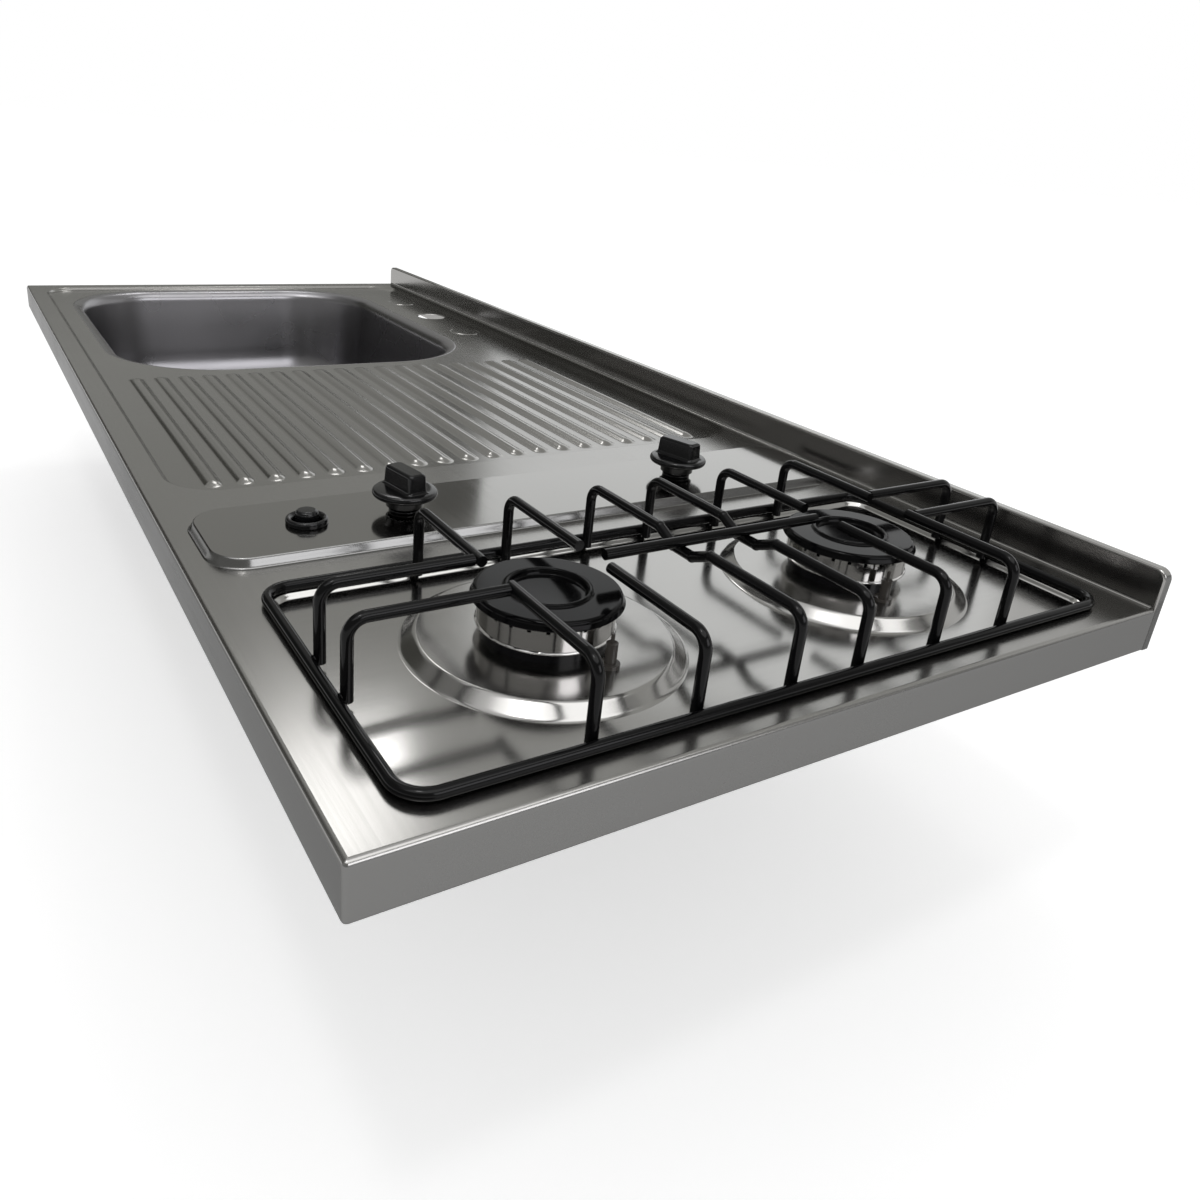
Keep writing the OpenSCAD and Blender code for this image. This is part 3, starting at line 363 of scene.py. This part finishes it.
def lathe(bm, cx, cy, profile, n=96):
    """Turn a profile of (radius, z) about an upright axis."""
    loops = [add_loop(bm, circle(cx, cy, max(r, 0.0005), z, n)) for r, z in profile]
    for a, b in zip(loops, loops[1:]):
        strip(bm, b, a)
    return loops


def turned(name, at, profile, material, body, replaces=(), n=96):
    """Round piece from a profile that starts and ends on its axis."""
    bm = bmesh.new()
    lathe(bm, *at, profile, n)
    finish_object(name, bm, [material], body, replaces, closed=True)


def ring(name, at, profile, material, body, slot, replaces=(), n=96):
    """Ring from a profile that closes on itself."""
    bm = bmesh.new()
    loops = lathe(bm, *at, profile, n)
    strip(bm, loops[0], loops[-1])
    finish_object(name, bm, [material], body, replaces, closed=True)


# ---------- worktop sheet ----------
SHEET_MATERIALS = ["worktop", "hob", "panel", "field", "flange", "seat", "slope"]
SLOT = {name: i for i, name in enumerate(SHEET_MATERIALS)}
BEND_ROWS = 6


def sink_outline(t, z):
    """Tight step in front and at the ends, long slope at the back."""
    return rounded_rect(SINK_X[0] + SINK_STEP * t, SINK_X[1] - SINK_STEP * t, SINK_Y[0] + SINK_STEP * t,
                        SINK_Y[1] - SINK_SLOPE * t, SINK_R - SINK_STEP * t, z)


def hob_outline(t, z):
    return rounded_rect(HOB_X - HOB_HALF_X + STEP * t, HOB_X + HOB_HALF_X - STEP * t,
                        MID_Y - HOB_HALF_Y + STEP * t, MID_Y + HOB_HALF_Y - STEP * t, HOB_R - STEP * t, z)


def panel_outline(t, z):
    return rounded_rect(PANEL_X[0] + STEP * t, PANEL_X[1] - STEP * t, PANEL_Y[0] + STEP * t,
                        PANEL_Y[1] - STEP * t, PANEL_R - STEP * t, z)


def bowl_outline(inset, z):
    """Outline of the bowl, inset from the outer edge of its rolled mouth."""
    dx, dy = BOWL_HALF_X + BOWL_ROLL - inset, BOWL_HALF_Y + BOWL_ROLL - inset
    return rounded_rect(BOWL_X - dx, BOWL_X + dx, BOWL_Y - dy, BOWL_Y + dy, BOWL_R + BOWL_ROLL - inset, z, 24)


def press(bm, outline, z0, z1, slot, soft=0.5):
    """Step from z0 to z1 along outline(t, z). Returns its first and last loop."""
    loops = [add_loop(bm, outline(t, z)) for t, z in step_unit(z0, z1, soft)]
    loft(bm, loops, index=SLOT[slot])
    return loops[0], loops[-1]


def panel_holes(bm):
    holes = [add_loop(bm, circle(x, y, STEM_HOLE_R, PANEL_Z, 32)) for x, y in KNOBS.values()]
    holes.append(add_loop(bm, circle(*IGNITER, IGNITER_HOLE_R, PANEL_Z, 32)))
    return holes


def burner_rises(bm):
    """Raised round seats of the burners. Returns the loop at the foot of each."""
    feet = []
    for x, y in BURNERS.values():
        foot, rim = press(bm, lambda t, z: circle(x, y, RISE_R - RISE_SLOPE * t, z), FIELD, RISE_Z, "seat",
                          RISE_SOFT)
        hole = add_loop(bm, circle(x, y, SEAT_HOLE_R, RISE_Z))
        inner = add_loop(bm, circle(x, y, SEAT_MID_R, RISE_Z))
        strip(bm, rim, inner, index=SLOT["seat"])
        strip(bm, inner, hole, index=SLOT["seat"])
        feet.append(foot)
    return feet


def drainer_ribs(bm):
    """Ribs with tapered ends. Returns the loop at the foot of each."""
    feet = []
    for i in range(RIB_COUNT):
        y = MID_Y + (i - (RIB_COUNT - 1) / 2) * RIB_PITCH
        loops = []
        for inset, height in RIB_PROFILE:
            x0, x1 = RIB_X[0] + inset * RIB_TAPER, RIB_X[1] - inset * RIB_TAPER
            loops.append(add_loop(bm, stadium(x0, x1, y, RIB_HALF - inset, FIELD + height)))
        loft(bm, loops, index=SLOT["field"])
        bm.faces.new(loops[-1]).material_index = SLOT["field"]
        feet.append(loops[0])
    return feet


def round_pressing(bm, x, y, profile):
    loops = [add_loop(bm, circle(x, y, r, FIELD + height, 64)) for r, height in profile]
    loft(bm, loops, index=SLOT["field"])
    return loops


def blanked_holes(bm):
    """Closed hole on each side of the tap hole. Returns the outer loop of each."""
    outer = []
    for side in (-1, 1):
        loops = round_pressing(bm, TAP[0] + side * TAP_PITCH, TAP[1], BLANK)
        bm.faces.new(loops[-1]).material_index = SLOT["field"]
        outer.append(loops[0])
    return outer


def corner(x, y, inset, start, z, r=EDGE_CORNER_R, n=5):
    """Points round one front corner of the turned-down edge."""
    side = 1 if start == 180 else -1
    rr = max(r - inset, 0.0)
    d = max(r, inset)
    cx, cy = x + side * d, y + d
    pts = []
    for i in range(n + 1):
        a = math.radians(start + 90 * i / n)
        pts.append((cx + rr * math.cos(a), cy + rr * math.sin(a), z))
    return pts


def turned_down_edge(bm):
    """Edge with its hem, along the front and both ends."""
    profile = []
    for degrees in range(0, 91, 10):
        a = math.radians(degrees)
        profile.append((EDGE_R - EDGE_R * math.sin(a), TOP - EDGE_R * (1 - math.cos(a))))
    rows = []
    for inset, z in profile + EDGE_FOOT:
        points = [(X_LEFT + inset, Y_WALL, z)]
        points += corner(X_LEFT, Y_FRONT, inset, 180, z) + corner(X_RIGHT, Y_FRONT, inset, 270, z)
        points.append((X_RIGHT - inset, Y_WALL, z))
        rows.append(add_loop(bm, points))
    for i, (a, b) in enumerate(zip(rows, rows[1:])):
        # rows below the bend take the flange steel: painted shade, a darker copy of the top's steel
        strip(bm, b, a, False, SLOT["worktop"] if i < BEND_ROWS else SLOT["flange"])


def build_worktop():
    bm = bmesh.new()
    x0, x1, y0 = X_LEFT + EDGE_R, X_RIGHT - EDGE_R, Y_FRONT + EDGE_R
    border = add_loop(bm, [(x0, y0, TOP), (x1, y0, TOP), (x1, BORDER_BACK, TOP), (x0, BORDER_BACK, TOP)])
    sink_rim, sink_floor = press(bm, sink_outline, TOP, FIELD, "field")
    hob_rim, hob_floor = press(bm, hob_outline, TOP, FIELD, "hob")
    # the step's slope takes the slope steel: painted shade, a darker copy of the top's steel
    panel_rim, panel_top = press(bm, panel_outline, TOP, PANEL_Z, "slope")
    fill(bm, [border, sink_rim, hob_rim, panel_rim], SLOT["worktop"])
    fill(bm, [panel_top] + panel_holes(bm), SLOT["panel"])
    fill(bm, [hob_floor] + burner_rises(bm), SLOT["hob"])
    ribs = drainer_ribs(bm)
    mouth = add_loop(bm, bowl_outline(0, FIELD))
    tap = round_pressing(bm, *TAP, TAP_HOLE)[0]
    fill(bm, [sink_floor, mouth, tap] + ribs + blanked_holes(bm), SLOT["field"])
    turned_down_edge(bm)
    # soft bend up into the upstand
    bend = [add_loop(bm, [(x0, y, z), (x1, y, z)]) for y, z in BEND]
    for a, b in zip(bend, bend[1:]):
        strip(bm, b, a, False)
    finish_object("worktop_skin", bm, SHEET_MATERIALS, "worktop", ["worktop_sheet"])


def upstand_outline(inset, y):
    """Outline in X and Z, with rounded upper corners."""
    r = max(UPSTAND_R - inset, 0.5)
    x0, x1, z1 = X_LEFT + inset, X_RIGHT - inset, UPSTAND_TOP - inset
    pts = [(x0, y, 0), (x1, y, 0)]
    for cx, a0 in ((x1 - r, 0), (x0 + r, 90)):
        for i in range(9):
            a = math.radians(a0 + 90 * i / 8)
            pts.append((cx + r * math.cos(a), y, z1 - r + r * math.sin(a)))
    return pts


def build_upstand():
    """The outline swept through the sheet's fold, with rounded long edges."""
    bm = bmesh.new()
    rows = []
    e = UPSTAND_ROUND
    for i in range(6):
        a = math.radians(90 * i / 5)
        rows.append(add_loop(bm, upstand_outline(e - e * math.sin(a), Y_WALL + e - e * math.cos(a))))
    for i in range(6):
        a = math.radians(90 * i / 5)
        rows.append(add_loop(bm, upstand_outline(e - e * math.cos(a), Y_BACK - e + e * math.sin(a))))
    bm.faces.new(rows[0])
    loft(bm, rows)
    bm.faces.new(list(reversed(rows[-1])))
    bm.normal_update()
    for f in bm.faces:
        # the ends take the flange steel: painted shade, a darker copy of the upstand's steel
        f.material_index = 1 if abs(f.normal.x) > 0.8 else 0
    finish_object("upstand_skin", bm, ["upstand", "flange"], "worktop", ["worktop_sheet"],
                  closed=True)


def bowl_profile():
    """(inset, z) from the outer edge of the rolled mouth down to the floor."""
    profile = []
    for degrees in range(0, 91, 9):
        a = math.radians(degrees)
        profile.append((BOWL_ROLL * math.sin(a), FIELD - BOWL_ROLL * (1 - math.cos(a))))
    head, foot = FIELD - BOWL_ROLL, BOWL_FLOOR + BOWL_ROUND
    for i in range(1, 9):
        profile.append((BOWL_ROLL + BOWL_DRAFT * i / 8, head + (foot - head) * i / 8))
    for i in range(1, 11):
        a = math.radians(9 * i)
        profile.append((BOWL_ROLL + BOWL_DRAFT + BOWL_ROUND * (1 - math.cos(a)),
                        foot - BOWL_ROUND * math.sin(a)))
    return profile


def build_bowl():
    bm = bmesh.new()
    loops = [add_loop(bm, bowl_outline(inset, z)) for inset, z in bowl_profile()]
    loft(bm, loops)
    waste = add_loop(bm, circle(BOWL_X, BOWL_Y, WASTE_R, BOWL_FLOOR))
    fill(bm, [loops[-1], waste])
    finish_object("bowl_skin", bm, ["bowl"], "worktop", ["sink_bowl"], thickness=BOWL_SHEET)


# ---------- burners, grate welds, knobs and igniter ----------
def build_burner(end):
    z = CAP_Z
    cap = [(0, z - 3), (30.5, z - 3), (31, z), (CAP_R - 1.2, z)]
    cap += arc(CAP_R - 1.1, z + 1.1, 1.1, -90, 0, 4)
    cap += arc(CAP_R - 3.4, z + 2.7, 2.2, 0, 90, 8)
    cap += arc(23.5, z + 5.9, 1.0, 270, 180, 3)
    cap += arc(21.2, z + 5.0, 1.3, 0, 180, 8)
    cap += [(19.5, z + 3.4), (18.6, z + 2.9), (0, z + 2.9)]
    turned("cap_skin_" + end, BURNERS[end], cap, "cap", end + "_cap", ["burner_cap_" + end])
    z = LIP_Z
    lip = [(34.0, z), (35.6, z + 0.1)] + arc(35.7, z + 0.8, 0.6, -90, 90, 6)
    lip += [(35.4, z + 1.8), (34.0, z + 1.8)]
    ring("head_lip_" + end, BURNERS[end], lip, "alloy", end + "_head", "alloy")


def build_welds():
    """Small beads where the uprights of the grate meet its frame."""
    bm = bmesh.new()
    spots = [(s * (UPRIGHT_X + WELD_OUT), t * y) for s in (-1, 1) for t in (-1, 1)
             for y in (*FINGER_Y, CROSS_BAR_Y)]
    spots += [(s * END_FINGER_X, t * (UPRIGHT_Y + WELD_OUT)) for s in (-1, 1) for t in (-1, 1)]
    for dx, dy in spots:
        matrix = Matrix.Translation(((HOB_X + dx) * MM, (MID_Y + dy) * MM, WELD_Z * MM))
        bmesh.ops.create_uvsphere(bm, u_segments=16, v_segments=10, radius=WELD_R * MM, matrix=matrix)
    for f in bm.faces:
        f.smooth = True
    finish_object("weld_beads", bm, ["enamel"], "pan_grate", weighted=False)


def build_knob(end):
    cx, cy = KNOBS[end]
    z = KNOB_DISC_Z
    bm = bmesh.new()
    disc = [(0, z - 0.6), (10.6, z - 0.6), (10.6, SKIRT_Z), (12, SKIRT_Z), (12.2, z - 2.6), (14.5, z - 2.0)]
    disc += arc(18.5, z + 0.6, 2.5, -80, 70, 10)
    disc += [(16.0, z + 3.5), (0, z + 3.6)]
    lathe(bm, cx, cy, disc)
    grip = []
    for inset, gz in ((-1.2, z + 3.4), (-0.4, z + 4.0), (0, z + 5.2), (0.5, KNOB_TOP - 1.9),
                      (1.1, KNOB_TOP - 0.7), (2.3, KNOB_TOP)):
        outline = rounded_rect(cx - GRIP_X + inset, cx + GRIP_X - inset, cy - GRIP_Y + inset,
                               cy + GRIP_Y - inset, GRIP_R, gz, 6)
        grip.append(add_loop(bm, turn(outline, cx, cy, GRIP_TURN[end])))
    loft(bm, grip)
    bm.faces.new(grip[0])
    bm.faces.new(grip[-1])
    finish_object("knob_skin_" + end, bm, ["knob"], end + "_knob", ["knob_" + end],
                  closed=True)
    z = PANEL_Z
    washer = [(4.6, z + 0.02), (10.2, z + 0.02), (10.2, z + 1.4), (9.8, z + 1.8), (4.6, z + 1.8)]
    ring("stem_washer_" + end, KNOBS[end], washer, "knob", "worktop", "knob_plastic", n=48)


def build_igniter():
    z = PANEL_Z
    bezel = [(8.6, z - 9), (9, z - 9), (9, z + 0.02), (12.7, z + 0.02), (13, z + 0.4)]
    bezel += arc(11.2, z + 2.2, 1.8, 0, 100, 8)
    bezel += [(9.3, z + 3.0), (8.6, z + 1.4)]
    ring("bezel_skin", IGNITER, bezel, "knob", "worktop", "knob_plastic", ["igniter_bezel"], 64)
    button = [(0, z - 8), (7, z - 8), (7, z + 6.2)] + arc(4.6, z + 6.1, 2.4, 0, 90, 6) + [(0, z + 8.5)]
    turned("button_skin", IGNITER, button, "knob", "igniter", ["igniter_button"], 64)


# ---------- camera, fitted to the picture of 1200 by 1200 pixels ----------
PICTURE_PX, FOCAL_PX, CENTRE_PX = 1200, 969.249, (536.884, 526.917)
SENSOR = 36
CAMERA_AT = (0.85277, -0.09986, 0.26571)
CAMERA_AXES = ((0.5038, -0.3618, 0.7844), (0.8603, 0.1288, -0.4932), (0.0774, 0.9233, 0.3762))


def build_camera():
    data = bpy.data.cameras.new("camera")
    cam = bpy.data.objects.new("camera", data)
    bpy.context.scene.collection.objects.link(cam)
    cam.matrix_world = Matrix.Translation(CAMERA_AT) @ Matrix(CAMERA_AXES).to_4x4()
    data.sensor_width = SENSOR
    data.lens = SENSOR * FOCAL_PX / PICTURE_PX
    data.shift_x = (PICTURE_PX / 2 - CENTRE_PX[0]) / PICTURE_PX
    data.shift_y = (CENTRE_PX[1] - PICTURE_PX / 2) / PICTURE_PX
    data.clip_start = 0.01
    data.clip_end = 60
    bpy.context.scene.camera = cam


# ---------- floor, cards, world and lamps ----------
FLOOR_COLOUR, FLOOR_GLOW, FLOOR_HALF = 0.85, 0.42, 30000
WORLD_LEVEL = 0.75

# grey cards round the object: azimuths, elevations, colour, distance in millimetres
CARDS = {
    "card_west": ((152.3, 186), (9, 33), (0.42, 0.42, 0.40), 6000),
    "card_edge": ((148.3, 152.3), (9, 24), (0.16, 0.16, 0.15), 6000),
    "card_over_edge": ((148.3, 152.3), (24, 33), (0.42, 0.42, 0.40), 6000),
    "card_upper": ((60, 200), (33, 62), (0.58, 0.58, 0.56), 6000),
    "card_north": ((60, 113), (10, 33), (0.85, 0.85, 0.84), 6000),
    "card_bright": ((113, 148.3), (10, 33), (1.25, 1.27, 1.27), 6000),
    "card_south_west": ((186, 222), (5, 33), (0.09, 0.09, 0.08), 6000),
    "card_south": ((222, 262), (5, 33), (0.27, 0.27, 0.26), 6000),
    "card_south_upper": ((200, 262), (33, 62), (0.30, 0.30, 0.29), 6000),
    "card_behind": ((0, 36), (15, 36), (3.4, 3.4, 3.5), 5900),
    "card_low": ((152, 186), (-1, 9), (0.12, 0.12, 0.11), 6000),
    "card_south_east": ((262, 420), (6, 47), (0.34, 0.34, 0.33), 6000),
    "card_high": ((-75, 60), (47, 82), (2.6, 2.6, 2.6), 6000),
}

# lamps: size, place and target in metres, power
LAMPS = {
    "key": ((0.36, 0.4), (-1.056, 0.577, 1.41), (0.5, 0.1, 0.03), 2.0),
    "overhead": ((0.3, 0.3), (0.9, -0.4, 2.2), (0.1, 0.25, 0), 5),
}


def background_rays(nt):
    """1 for the rays that see the background: camera, glossy and transmission rays."""
    path = nt.nodes.new("ShaderNodeLightPath")
    total = path.outputs["Is Camera Ray"]
    for key in ("Is Glossy Ray", "Is Transmission Ray"):
        add = nt.nodes.new("ShaderNodeMath")
        add.operation = "MAXIMUM"
        nt.links.new(total, add.inputs[0])
        nt.links.new(path.outputs[key], add.inputs[1])
        total = add.outputs[0]
    return total


def stage_object(name, bm, material):
    me = bpy.data.meshes.new(name)
    bm.to_mesh(me)
    bm.free()
    o = bpy.data.objects.new(name, me)
    bpy.context.scene.collection.objects.link(o)
    me.materials.append(material)
    return o


def build_floor():
    m, nt, bsdf = new_material("pale_floor")
    bsdf.inputs["Base Color"].default_value = (FLOOR_COLOUR, FLOOR_COLOUR, FLOOR_COLOUR, 1)
    bsdf.inputs["Roughness"].default_value = 0.9
    bsdf.inputs["Specular IOR Level"].default_value = 0.0
    bsdf.inputs["Emission Color"].default_value = (1, 1, 1, 1)
    glow = ramp(nt, background_rays(nt), 0, 1, 0, FLOOR_GLOW)
    nt.links.new(glow, bsdf.inputs["Emission Strength"])
    bm = bmesh.new()
    z, s = CAD_BOX[0][2] / MM, FLOOR_HALF
    bm.faces.new(add_loop(bm, [(-s, -s, z), (s, -s, z), (s, s, z), (-s, s, z)]))
    stage_object("floor", bm, m)


def build_card(name, azimuths, elevations, colour, distance):
    """Plain grey card of the studio, part of a sphere round the object, that only gloss shows."""
    m, nt, bsdf = new_material(name)
    nt.nodes.remove(bsdf)
    glow = nt.nodes.new("ShaderNodeEmission")
    glow.inputs["Color"].default_value = (*colour, 1)
    nt.links.new(glow.outputs["Emission"], nt.nodes["Material Output"].inputs["Surface"])
    bm = bmesh.new()
    rows = []
    for j in range(9):
        e = math.radians(elevations[0] + (elevations[1] - elevations[0]) * j / 8)
        points = []
        for i in range(17):
            a = math.radians(azimuths[0] + (azimuths[1] - azimuths[0]) * i / 16)
            points.append((distance * math.cos(e) * math.cos(a), distance * math.cos(e) * math.sin(a),
                           distance * math.sin(e)))
        rows.append(add_loop(bm, points))
    loft(bm, rows, closed=False)
    o = stage_object(name, bm, m)
    o.visible_camera = False
    o.visible_diffuse = False
    o.visible_shadow = False


def build_world():
    world = bpy.data.worlds.new("studio")
    bpy.context.scene.world = world
    world.use_nodes = True
    nt = world.node_tree
    background = nt.nodes["Background"]
    background.inputs["Color"].default_value = (1.0, 1.0, 1.0, 1)
    level = ramp(nt, background_rays(nt), 0, 1, WORLD_LEVEL, 1.0)
    nt.links.new(level, background.inputs["Strength"])


def build_lamp(name, size, location, target, power):
    lamp = bpy.data.lights.new(name, "AREA")
    lamp.shape = "RECTANGLE"
    lamp.size, lamp.size_y = size
    lamp.energy = power
    o = bpy.data.objects.new(name, lamp)
    bpy.context.scene.collection.objects.link(o)
    o.location = location
    direction = Vector(target) - Vector(location)
    o.rotation_euler = direction.to_track_quat("-Z", "Y").to_euler()


# ---------- the whole scene ----------
dress_nodes()
build_worktop()
build_upstand()
build_bowl()
build_igniter()
build_welds()
for end in ("front", "rear"):
    build_burner(end)
    build_knob(end)

build_camera()
build_floor()
for name, card in CARDS.items():
    build_card(name, *card)
build_world()
for name, lamp in LAMPS.items():
    build_lamp(name, *lamp)
bpy.context.scene.view_settings.view_transform = "Standard"
